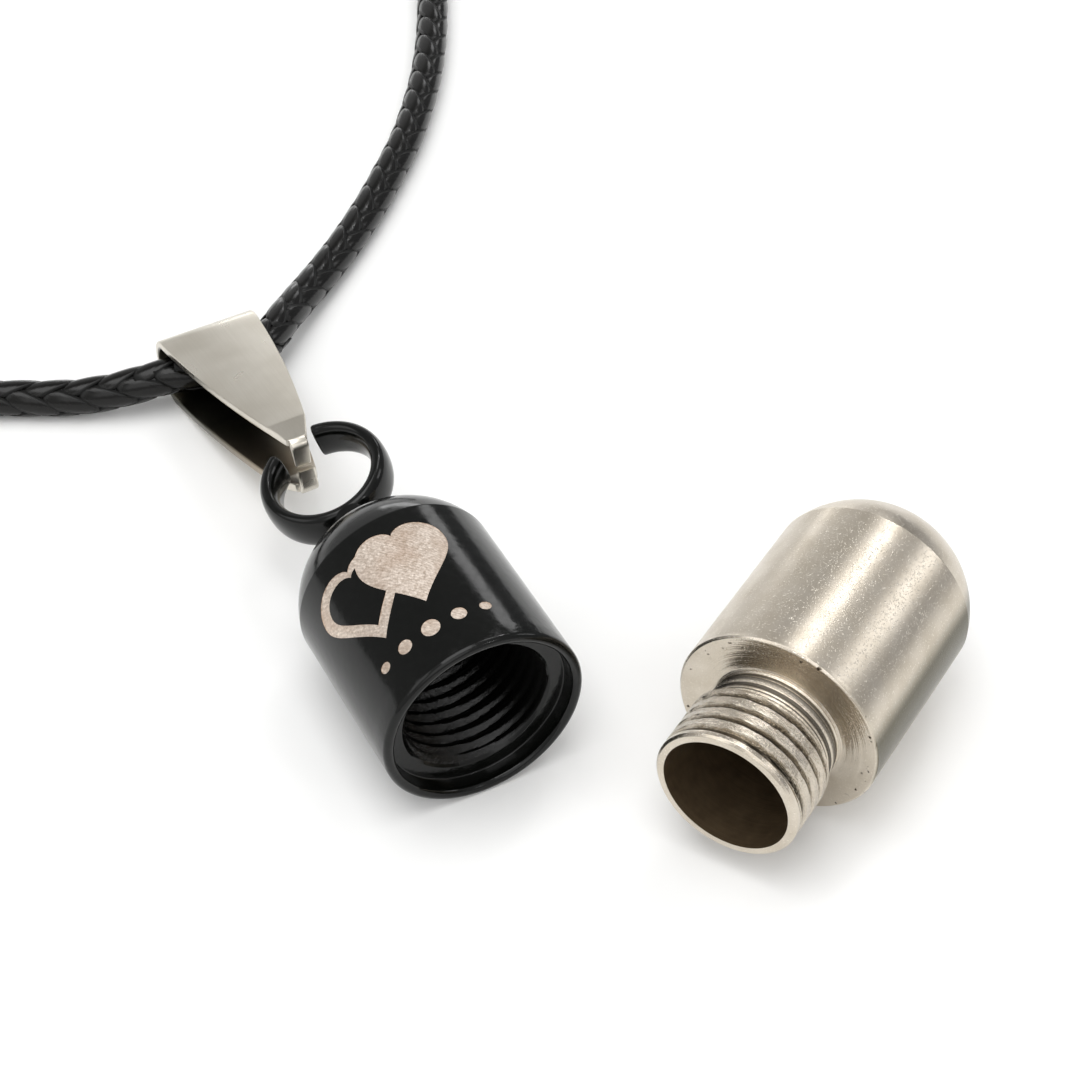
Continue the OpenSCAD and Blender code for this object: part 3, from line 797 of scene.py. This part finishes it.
def makeCap(enamel):
    look = capLook
    radius, lip = look["radius"], look["lip"] / 2
    low, high = look["patchEnds"]
    profile = domeProfile(radius, look["side"], look["dome"])
    edge = roundedPath([(*profile[-1], 0), (radius, look["side"], look["domeEdge"]), (radius, high, 0)])
    profile += [tuple(p) for p in edge[1:]]
    upper = len(profile)
    profile.append((radius, low))
    profile += [(radius - lip + lip * math.cos(math.pi * k / 12), lip - lip * math.sin(math.pi * k / 12))
                for k in range(13)]
    # the recess behind the lip, and its step down to the bore
    recessRadius, root = radius - look["lip"], look["rootRadius"]
    recess = roundedPath([
        (recessRadius, 0.35, 0), (recessRadius, look["recess"], 0.08),
        (root + 0.12, look["recess"], 0.05), (root, 1.02, 0)], 3)
    profile += [tuple(p) for p in recess]
    threadStart = len(profile)
    foot, top = look["threadRows"]
    rows = int((top - foot) / look["pitch"] * look["rowsPerPitch"])
    profile += [(root, foot + (top - foot) * k / rows) for k in range(rows + 1)]
    threadEnd = len(profile)
    # the bore's flat floor
    profile += [(r, look["boreDepth"]) for r in (root, 2.4, 1.2, 0)]
    verts, lathe = turnedShape(profile, look["sides"])
    # away from openTurn the enamel fills the thread almost flush
    share = [0.0] * len(verts)
    for row in lathe[threadStart:threadEnd]:
        for k, i in enumerate(row):
            turn = 2 * math.pi * k / look["sides"] - math.radians(look["openTurn"])
            share[i] = 0.05 + 0.95 * (0.5 + 0.5 * math.cos(turn)) ** 2
    outside = latheFaces(lathe[:upper]) + latheFaces(lathe[upper:threadStart])
    bore = latheFaces(lathe[threadStart - 1:])
    faces = bore + outside
    first, last = look["patch"]
    for k in range(last, last + look["sides"] - (last - first)):
        a, b = k % look["sides"], (k + 1) % look["sides"]
        faces.append((lathe[upper - 1][a], lathe[upper - 1][b], lathe[upper][b], lathe[upper][a]))
    # material slots: 0 for enamel, 1 for engraved steel and 2 for the bore
    slots = [2] * len(bore) + [0] * (len(faces) - len(bore))
    patchVerts, patchFaces, marks = engravedPatch(low, high)
    start = len(verts)
    verts += patchVerts
    share += [0.0] * len(patchVerts)
    faces += [tuple(start + i for i in f) for f in patchFaces]
    slots += marks
    lining = boreEnamel()
    mesh = meshFrom("capShell", verts, faces, [enamel, engravedSteel(), lining], slots,
                    {"threadShare": share})
    # the ridge is cut outwards, so its height and its dents are below 0
    mesh = runTree(mesh, screwThread, {
        "Pitch": look["pitch"], "Ridge": -look["ridge"], "Crest": look["crest"],
        "Start": look["threadEnds"][0], "End": look["threadEnds"][1], "Wear": -look["wear"],
        "Phase": look["phase"], "Material": lining})
    cap = placePiece("capShell", mesh, capPlace)
    roundNormals(mesh, capPlace, radius, low - 0.1, high + 0.1)
    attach(cap, "pendant")
    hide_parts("cap")
    say("cap, %d faces" % len(mesh.polygons))


ringPlace = capPlace @ Matrix.Translation((0, 0, 17.53 * mm)) @ turned((-18, "Z"), (90, "X"))
ringLook = {
    "radius": 2.88, "thickness": 0.9, "width": 2.1,
    "start": 121.0, "sweep": 314.0,  # degrees, round the ring from the right end of its gap
    "endRounding": 0.14,
    "squareness": 0.85,              # of the wire's section, 1 for an ellipse and less for a squarer one
    # the post that joins the ring to the dome: radius, height from the mouth, and rounding
    "post": [(0, 12.7, 0), (2.1, 12.7, 0), (2.1, 12.86, 0), (1.1, 13.05, 0.75), (1.1, 14.55, 0),
             (0, 14.55, 0)],
}


def makeRing(enamel):
    look = ringLook
    thick, wide = look["thickness"] / 2, look["width"] / 2

    def section(angle, inset, sides=32):
        # a ring of points round the wire
        ring = []
        for k in range(sides):
            t = 2 * math.pi * k / sides
            out, along = (math.copysign(abs(v) ** look["squareness"], v)
                          for v in (math.cos(t), math.sin(t)))
            r = look["radius"] + out * (thick - inset)
            ring.append(Vector((r * math.cos(angle), r * math.sin(angle), along * (wide - inset))))
        return ring

    start, end = math.radians(look["start"]), math.radians(look["start"] + look["sweep"])
    rounding, steps = look["endRounding"], 100
    stations = [(start + rounding * (1 - math.cos(math.pi / 2 * k / 5)) / look["radius"],
                 rounding * (1 - math.sin(math.pi / 2 * k / 5))) for k in range(6)]
    slip = rounding / look["radius"]
    middle = [(start + slip + (end - start - 2 * slip) * k / steps, 0.0) for k in range(1, steps)]
    last = [(start + end - angle, inset) for angle, inset in reversed(stations)]
    verts, faces = sweptShape([section(*s) for s in stations + middle + last])
    ring = placePiece("eyeRing", meshFrom("eyeRing", verts, faces, [enamel]), ringPlace)
    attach(ring, "pendant")
    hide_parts("cap")
    # the weld post flares onto the dome
    verts, rows = turnedShape([tuple(p) for p in roundedPath(look["post"], 8)], 64)
    post = placePiece("weldPost", meshFrom("weldPost", verts, latheFaces(rows), [enamel]), capPlace)
    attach(post, "pendant")
    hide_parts("cap")
    say("eye ring")


screwThread = threadTree()
enamel = blackEnamel()
makeCap(enamel)
makeRing(enamel)


# bail: one strip of satin steel, folded over the cord

bailPlace = (Matrix.Translation(Vector((-9.6, 21, 1.974)) * mm)
             @ turned((-0.5, "Z"), (-2, "Y"), (-12.2, "X"), (-90, "Z"), (90, "X")))
bailLook = {
    "depth": 3.7, "strip": 0.45, "leg": 11.375, "bend": 1.565, "bendAngle": 12.0,
    "foldWidth": 5.4, "bendWidth": 2.1, "bow": 0.22, "prongWidth": 0.9,
    "bendRadius": 0.6, "hookRadius": 0.3, "foldSteps": 28,
    "stepOut": 0.1,      # how much wider than a prong the strip is before it, on each side
    "tipGap": 0.08,      # from a hooked tip to the middle line
    "edge": 0.08,        # rounding of the strip's long edges
    "lowerStep": 0.3,    # how much further the lower leg reaches
    "insideRadius": 1.52,  # from the middle line to where the dark inside starts
}


def satinSteel(name, place, insideRadius=0.0):
    # brushed stainless steel: warm grey, softly blurred reflections, lines 0.1 mm apart along the strip,
    # coarser than the real ones so that they show; its inside, nearer the middle line than insideRadius,
    # is painted darker as shade, darkest deep in towards the fold
    material, tree = newMaterial(name)
    point = pieceSpace(tree, place)
    lines = addNode(tree, "ShaderNodeMapping", {"Vector": point, "Scale": (0.35, 12.0, 12.0)})
    brushed = addNode(tree, "ShaderNodeTexNoise", {
        "Vector": lines, "Scale": 1.0, "Detail": 3.0, "Roughness": 0.65})
    haze = addNode(tree, "ShaderNodeTexNoise", {"Vector": point, "Scale": 0.35, "Detail": 2.0})
    colour = addNode(tree, "ShaderNodeMix", {
        0: brushed, 6: linearColour("#CCC6BA"), 7: linearColour("#DAD5CA")}, data_type="RGBA")
    cloud = addNode(tree, "ShaderNodeMapRange", {
        "Value": haze, "From Min": 0.4, "From Max": 0.65, "To Max": 0.4})
    colour = addNode(tree, "ShaderNodeMix", {
        0: cloud, 6: colour, 7: linearColour("#B9B2A4")}, data_type="RGBA")
    if insideRadius:
        # x runs along the strip's legs from its fold, and y from the lower leg to the upper one, in mm
        x, y, _ = addNode(tree, "ShaderNodeSeparateXYZ", {0: point}).outputs
        behind = addNode(tree, "ShaderNodeMath", {0: x, 1: 0.0}, operation="MINIMUM")
        bent = addNode(tree, "ShaderNodeCombineXYZ", {0: behind, 1: y})
        depth = addNode(tree, "ShaderNodeVectorMath", {0: bent}, operation="LENGTH").outputs["Value"]
        # painted shade covers the back leg's edges as well as its inside
        edges = addNode(tree, "ShaderNodeMapRange", {
            "Value": y, "From Min": -0.9, "From Max": -0.2, "To Min": 0.3, "To Max": 0.0})
        inner = addNode(tree, "ShaderNodeMath", {0: depth, 1: edges}, operation="SUBTRACT")
        # painted shade: the strip's inside, between its legs, is darker
        insideShade = addNode(tree, "ShaderNodeMapRange", {
            "Value": inner, "From Min": insideRadius + 0.04, "From Max": insideRadius - 0.04})
        ends = addNode(tree, "ShaderNodeMapRange", {"Value": x, "From Min": 11.6, "From Max": 10.6})
        hollow = addNode(tree, "ShaderNodeMath", {0: insideShade, 1: ends}, operation="MULTIPLY")
        # painted shade: darker deep in towards the fold, lighter towards the prongs
        wearAndShade = addNode(tree, "ShaderNodeMapRange", {"Value": x, "From Min": 4.0, "From Max": 10.0})
        shadedInsideColour = addNode(tree, "ShaderNodeMix", {
            0: wearAndShade, 6: linearColour("#5C594F"), 7: linearColour("#A39786")}, data_type="RGBA")
        colour = addNode(tree, "ShaderNodeMix", {0: hollow, 6: colour, 7: shadedInsideColour}, data_type="RGBA")
    satin = addNode(tree, "ShaderNodeMapRange", {
        "Value": haze, "From Min": 0.3, "From Max": 0.7, "To Min": 0.27, "To Max": 0.3})
    marks = addNode(tree, "ShaderNodeBump", {"Height": brushed, "Distance": 0.0008 * mm})
    shader = addNode(tree, "ShaderNodeBsdfPrincipled", {
        "Base Color": colour, "Metallic": 1.0, "Roughness": satin, "Normal": marks})
    addNode(tree, "ShaderNodeOutputMaterial", {"Surface": shader})
    return material


def makeBail():
    look = bailLook
    half, thick = look["depth"] / 2 - look["strip"] / 2, look["strip"] / 2
    leg, bend = look["leg"], look["bend"]
    drop = bend * math.tan(math.radians(look["bendAngle"]))

    def legPath(side, reach):
        # from the fold's end of a leg to its hooked tip
        end = leg + bend + reach
        return roundedPath([(0, side * half, 0), (leg, side * half, look["bendRadius"]),
                            (end, side * (half - drop * (bend + reach) / bend), look["hookRadius"]),
                            (end, side * look["tipGap"], 0)], 6)

    turns = [math.pi * k / look["foldSteps"] for k in range(look["foldSteps"] + 1)]
    fold = [Vector((-half * math.sin(t), half * math.cos(t))) for t in turns]
    lower = [Vector((x, y)) for x, y in legPath(-1, look["lowerStep"])]
    upper = [Vector((x, y)) for x, y in legPath(1, 0.0)]

    def filled(points, spacing=0.5):
        # extra stations along the long straight stretch, where the width bows
        out = [points[0]]
        for a, b in zip(points, points[1:]):
            count = max(1, int((b - a).length / spacing))
            out += [a.lerp(b, k / count) for k in range(1, count + 1)]
        return out

    step = leg + bend - thick  # where the prongs start

    def halfWidth(x):
        # half the strip's width, from the fold at 0 to the prongs
        if x < 0:
            return look["foldWidth"] / 2
        t = x / leg
        if t < 1:
            return (look["foldWidth"] * (1 - t) + look["bendWidth"] * t) / 2 + 4 * look["bow"] * t * (1 - t)
        if x < step:
            start, end = look["bendWidth"] / 2, look["prongWidth"] / 2 + look["stepOut"]
            return start + (end - start) * (x - leg) / (step - leg)
        return look["prongWidth"] / 2

    path = list(reversed(filled(upper))) + fold[1:-1] + filled(lower)
    # two close stations make the small step where the prongs start
    points = []
    for a, b in zip(path, path[1:]):
        points.append(a)
        if (a.x - step) * (b.x - step) < 0:
            near = a.lerp(b, (step - a.x) / (b.x - a.x))
            slip = (b - a).normalized() * 0.02
            points += [near - slip, near + slip]
    points.append(path[-1])
    rounding, stations = look["edge"], []
    for i, p in enumerate(points):
        ahead = (points[min(i + 1, len(points) - 1)] - points[max(i - 1, 0)]).normalized()
        normal = Vector((ahead.y, -ahead.x))
        w, ring = halfWidth(p.x), []
        # the two ends are a little smaller, for a soft edge
        shrink = 0.05 if i in (0, len(points) - 1) else 0.0
        for cx, cy, start in ((1, 1, 0), (-1, 1, 90), (-1, -1, 180), (1, -1, 270)):
            for k in range(4):
                a = math.radians(start + 30 * k)
                n = cx * (thick - rounding - shrink) + rounding * math.cos(a)
                z = cy * (w - rounding - shrink) + rounding * math.sin(a)
                q = p + normal * n
                ring.append(Vector((q.x, q.y, z)))
        stations.append(ring)
    verts, faces = sweptShape(stations)
    steel = satinSteel("satinSteel", bailPlace, look["insideRadius"])
    bail = placePiece("bailStrip", meshFrom("bailStrip", verts, faces, [steel]), bailPlace)
    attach(bail, "pendant")
    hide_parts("bail")
    say("bail")


makeBail()


# vial: turned metal with satin nickel plate, its neck open

vialPlace = Matrix.Translation(Vector((2.1, -17.41, 5)) * mm) @ turned((121.4, "Z"), (-90, "X"))
vialLook = {
    "sides": 192, "radius": 5.0, "side": 9.6, "dome": 3.9, "domeEdge": 0.06, "bevel": 0.1,
    "shoulder": (4.4, 3.9, 3.5),  # radii of the rings of points across its flat
    "relief": (3.12, 1.45),  # radius of the relief groove, and its end from the shoulder
    "grooves": 7, "grooveRows": 8, "grooveDepth": 0.08,
    "rootRadius": 3.18, "pitch": 0.75, "ridge": 0.33, "crest": 0.42, "rowsPerPitch": 16,
    "threadEnd": 4.4,        # from the shoulder, as is neck
    "neck": 4.9, "rim": 0.12, "wear": 0.07, "grain": 6.0,
    "chamber": 2.88, "chamberDepth": 12.0,
    "leadIn": (0.2, 9.0),    # how much wider the chamber's mouth is, and how far in
}


def satinNickel():
    # nickel plate on turned metal: pale and warm, softly blurred, with tumbled specks 0.1 mm wide and
    # turning lines 0.2 mm apart round the axis, both coarser than the real ones so that they show; a
    # dark band of painted shade runs low on one side of the body, and the thread's grooves hold dark grit
    material, tree = newMaterial("satinNickel")
    point = pieceSpace(tree, vialPlace)
    # height is from the shoulder, in mm: above 0 on the neck and below 0 on the body
    radius, height, turnedPoint = axisSpace(tree, point)
    x, y, _ = addNode(tree, "ShaderNodeSeparateXYZ", {0: point}).outputs
    lines = addNode(tree, "ShaderNodeTexNoise", {
        "Vector": turnedPoint, "Scale": 4.5, "Detail": 3.0, "Roughness": 0.65})
    specks = addNode(tree, "ShaderNodeTexNoise", {"Vector": point, "Scale": 11.0, "Detail": 1.0})
    haze = addNode(tree, "ShaderNodeTexNoise", {"Vector": point, "Scale": 0.8, "Detail": 3.0})
    grain = addNode(tree, "ShaderNodeTexNoise", {
        "Vector": point, "Scale": 8.0, "Detail": 3.0, "Roughness": 0.7})
    cloud = addNode(tree, "ShaderNodeMapRange", {"Value": haze, "From Min": 0.35, "From Max": 0.7})
    colour = addNode(tree, "ShaderNodeMix", {
        0: cloud, 6: linearColour("#D1C8BA"), 7: linearColour("#C5BBAB")}, data_type="RGBA")
    spotted = addNode(tree, "ShaderNodeMapRange", {"Value": specks, "From Min": 0.6, "From Max": 0.72})
    lit = addNode(tree, "ShaderNodeMath", {0: spotted, 1: 0.5}, operation="MULTIPLY")
    colour = addNode(tree, "ShaderNodeMix", {
        0: lit, 6: colour, 7: linearColour("#F2ECE0")}, data_type="RGBA")
    # painted shade: a dark band low on one side of the body, for the reflection of the shadow on the floor
    # beside it; angles in radians round the axis
    around = addNode(tree, "ShaderNodeMath", {0: x, 1: y}, operation="ARCTAN2")
    onSet = addNode(tree, "ShaderNodeMapRange", {
        "Value": around, "From Min": -2.05, "From Max": -1.8}, interpolation_type="SMOOTHSTEP")
    offSet = addNode(tree, "ShaderNodeMapRange", {
        "Value": around, "From Min": -1.2, "From Max": -1.5}, interpolation_type="SMOOTHSTEP")
    paintedShadeBand = addNode(tree, "ShaderNodeMath", {0: onSet, 1: offSet}, operation="MULTIPLY")
    onBody = addNode(tree, "ShaderNodeMapRange", {"Value": height, "From Min": 0.0, "From Max": -0.1})
    paintedShadeBand = addNode(tree, "ShaderNodeMath", {0: paintedShadeBand, 1: onBody}, operation="MULTIPLY")
    colour = addNode(tree, "ShaderNodeMix", {
        0: paintedShadeBand, 6: colour, 7: linearColour("#5F5B4D")}, data_type="RGBA")
    # dark turning marks in the relief groove and dark grit between the crests of the thread
    onNeck = addNode(tree, "ShaderNodeMapRange", {"Value": height, "From Min": 0.0, "From Max": 0.05})
    beforeRim = addNode(tree, "ShaderNodeMapRange", {"Value": height, "From Min": 4.45, "From Max": 4.35})
    neck = addNode(tree, "ShaderNodeMath", {0: onNeck, 1: beforeRim}, operation="MULTIPLY")
    low = addNode(tree, "ShaderNodeMapRange", {"Value": radius, "From Min": 3.46, "From Max": 3.3})
    scored = addNode(tree, "ShaderNodeMapRange", {"Value": lines, "From Min": 0.47, "From Max": 0.58})
    gritty = addNode(tree, "ShaderNodeMapRange", {"Value": grain, "From Min": 0.42, "From Max": 0.6})
    onThread = addNode(tree, "ShaderNodeMapRange", {"Value": height, "From Min": 1.35, "From Max": 1.5})
    gritty = addNode(tree, "ShaderNodeMath", {0: gritty, 1: onThread}, operation="MULTIPLY")
    marked = addNode(tree, "ShaderNodeMath", {0: scored, 1: gritty}, operation="MAXIMUM")
    deep = addNode(tree, "ShaderNodeMath", {0: low, 1: neck}, operation="MULTIPLY")
    grit = addNode(tree, "ShaderNodeMath", {0: marked, 1: deep}, operation="MULTIPLY")
    grit = addNode(tree, "ShaderNodeMath", {0: grit, 1: 0.85}, operation="MULTIPLY")
    colour = addNode(tree, "ShaderNodeMix", {
        0: grit, 6: colour, 7: linearColour("#2B251E")}, data_type="RGBA")
    wearAndShade = addNode(tree, "ShaderNodeMath", {0: gritty, 1: neck}, operation="MULTIPLY")
    wearAndShade = addNode(tree, "ShaderNodeMath", {0: wearAndShade, 1: 0.25}, operation="MULTIPLY")
    colour = addNode(tree, "ShaderNodeMix", {
        0: wearAndShade, 6: colour, 7: linearColour("#8C8272")}, data_type="RGBA")
    # pits near the shoulder's rim
    spots = addNode(tree, "ShaderNodeTexNoise", {"Vector": point, "Scale": 3.2, "Detail": 1.0})
    pitted = addNode(tree, "ShaderNodeMapRange", {"Value": spots, "From Min": 0.68, "From Max": 0.73})
    nearRim = addNode(tree, "ShaderNodeMapRange", {"Value": radius, "From Min": 4.2, "From Max": 4.5})
    onShoulder = addNode(tree, "ShaderNodeMapRange", {
        "Value": height, "From Min": -0.15, "From Max": -0.02})
    pits = addNode(tree, "ShaderNodeMath", {0: pitted, 1: nearRim}, operation="MULTIPLY")
    pits = addNode(tree, "ShaderNodeMath", {0: pits, 1: onShoulder}, operation="MULTIPLY")
    colour = addNode(tree, "ShaderNodeMix", {
        0: pits, 6: colour, 7: linearColour("#3A3024")}, data_type="RGBA")
    side = addNode(tree, "ShaderNodeMapRange", {
        "Value": height, "From Min": -0.1, "From Max": 0.0, "To Min": 0.26, "To Max": 0.19})
    satin = addNode(tree, "ShaderNodeMath", {0: haze, 1: 0.08, 2: side}, operation="MULTIPLY_ADD")
    # the lathe's rings show on the shoulder and the neck, and are polished off the side
    depth = addNode(tree, "ShaderNodeMapRange", {
        "Value": height, "From Min": -0.3, "From Max": 0.0, "To Min": 0.001, "To Max": 0.03})
    rings = addNode(tree, "ShaderNodeMath", {0: lines, 1: depth}, operation="MULTIPLY")
    ringMarks = addNode(tree, "ShaderNodeBump", {"Height": rings, "Distance": mm})
    coarse = addNode(tree, "ShaderNodeMath", {0: grain, 1: neck}, operation="MULTIPLY")
    grainMarks = addNode(tree, "ShaderNodeBump", {
        "Height": coarse, "Distance": 0.03 * mm, "Normal": ringMarks})
    marks = addNode(tree, "ShaderNodeBump", {
        "Height": spotted, "Distance": 0.005 * mm, "Normal": grainMarks})
    shader = addNode(tree, "ShaderNodeBsdfPrincipled", {
        "Base Color": colour, "Metallic": 1.0, "Roughness": satin, "Normal": marks})
    addNode(tree, "ShaderNodeOutputMaterial", {"Surface": shader})
    return material


def chamberWall():
    # bare drilled metal inside the vial: dark brown and tarnished, with drill rings 0.2 mm apart
    material, tree = newMaterial("tarnishedBore")
    point = pieceSpace(tree, vialPlace)
    _, _, turnedPoint = axisSpace(tree, point)
    stain = addNode(tree, "ShaderNodeTexNoise", {"Vector": point, "Scale": 1.5, "Detail": 3.0})
    colour = addNode(tree, "ShaderNodeMix", {
        0: stain, 6: linearColour("#4B3D2D"), 7: linearColour("#7A6850")}, data_type="RGBA")
    rings = addNode(tree, "ShaderNodeTexNoise", {"Vector": turnedPoint, "Scale": 5.0, "Detail": 2.0})
    marks = addNode(tree, "ShaderNodeBump", {"Height": rings, "Distance": 0.02 * mm})
    shader = addNode(tree, "ShaderNodeBsdfPrincipled", {
        "Base Color": colour, "Metallic": 0.6, "Roughness": 0.32, "Normal": marks})
    addNode(tree, "ShaderNodeOutputMaterial", {"Surface": shader})
    return material


def makeVial():
    look = vialLook
    radius, side, neck = look["radius"], look["side"], look["neck"]
    profile = [(r, -z) for r, z in domeProfile(radius, side, look["dome"])]
    outer = roundedPath([
        (*profile[-1], 0), (radius, -side, look["domeEdge"]), (radius, -look["bevel"], 0.03),
        (radius - look["bevel"], 0, 0.03), (look["shoulder"][0], 0, 0)])
    profile += [tuple(p) for p in outer[1:]]
    # the shoulder, and the relief groove with its uneven turning rings
    groove, reliefEnd = look["relief"]
    foot, ringRows = 0.06, look["grooveRows"]
    profile += [(r, 0) for r in look["shoulder"][1:]] + [(groove + 0.1, 0), (groove, foot)]
    count = look["grooves"] * ringRows
    for k in range(1, count):
        z = foot + (reliefEnd - 2 * foot) * k / count
        uneven = 0.35 + 0.65 * abs(math.sin(2.4 * (k // ringRows) + 0.7))
        deep = look["grooveDepth"] * uneven
        profile.append((groove + deep * (0.5 - 0.5 * math.cos(2 * math.pi * k / ringRows)), z))
    profile.append((groove, reliefEnd - 0.04))
    # the thread's stretch and the neck's rim
    threadStart, root = len(profile), look["rootRadius"]
    low, high = reliefEnd, look["threadEnd"]
    rows = int((high - low) / look["pitch"] * look["rowsPerPitch"])
    profile += [(root, low + (high - low) * k / rows) for k in range(rows + 1)]
    threadEnd, rim = len(profile), root + look["ridge"]
    widened, reach = look["leadIn"]
    profile += [tuple(p) for p in roundedPath([
        (root, high + 0.02, 0), (rim, high + 0.16, 0.04), (rim, neck - look["rim"], 0.04),
        (rim - look["rim"], neck, 0.03), (look["chamber"] + widened, neck, 0.03)], 3)]
    # the chamber: its wider mouth, its straight wall and its flat floor
    boreStart = len(profile)
    profile += [(look["chamber"] + widened - 0.02, neck - reach * k / 6) for k in range(1, 7)]
    depth, start = -look["chamberDepth"], neck - reach - 0.1
    profile += [(look["chamber"], start + (depth - start) * k / 12) for k in range(13)]
    profile += [(1.4, depth), (0, depth)]
    verts, lathe = turnedShape(profile, look["sides"])
    share = [0.0] * len(verts)
    for row in lathe[threadStart:threadEnd]:
        for i in row:
            share[i] = 1.0
    outside, shadedInsideColour = latheFaces(lathe[:boreStart]), latheFaces(lathe[boreStart - 1:])
    nickel = satinNickel()
    mesh = meshFrom("vialShell", verts, outside + shadedInsideColour, [nickel, chamberWall()],
                    [0] * len(outside) + [1] * len(shadedInsideColour), {"threadShare": share})
    mesh = runTree(mesh, screwThread, {
        "Pitch": look["pitch"], "Ridge": look["ridge"], "Crest": look["crest"], "Start": low,
        "End": high + 0.15, "Wear": look["wear"], "Grain": look["grain"], "Material": nickel})
    vial = placePiece("vialShell", mesh, vialPlace)
    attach(vial, "vial")
    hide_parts("vial")
    say("vial, %d faces" % len(mesh.polygons))


makeVial()


# clasp: the CAD's own turned barrel, in the same steel as the bail

claspPlace = Matrix.Translation(Vector((-31.8, 177.6, 2)) * mm)


def makeClasp():
    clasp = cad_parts["clasp"]
    steel = satinSteel("satinClaspSteel", claspPlace)
    for holder in clasp.material_slots:
        holder.material = steel
    say("clasp")


makeClasp()
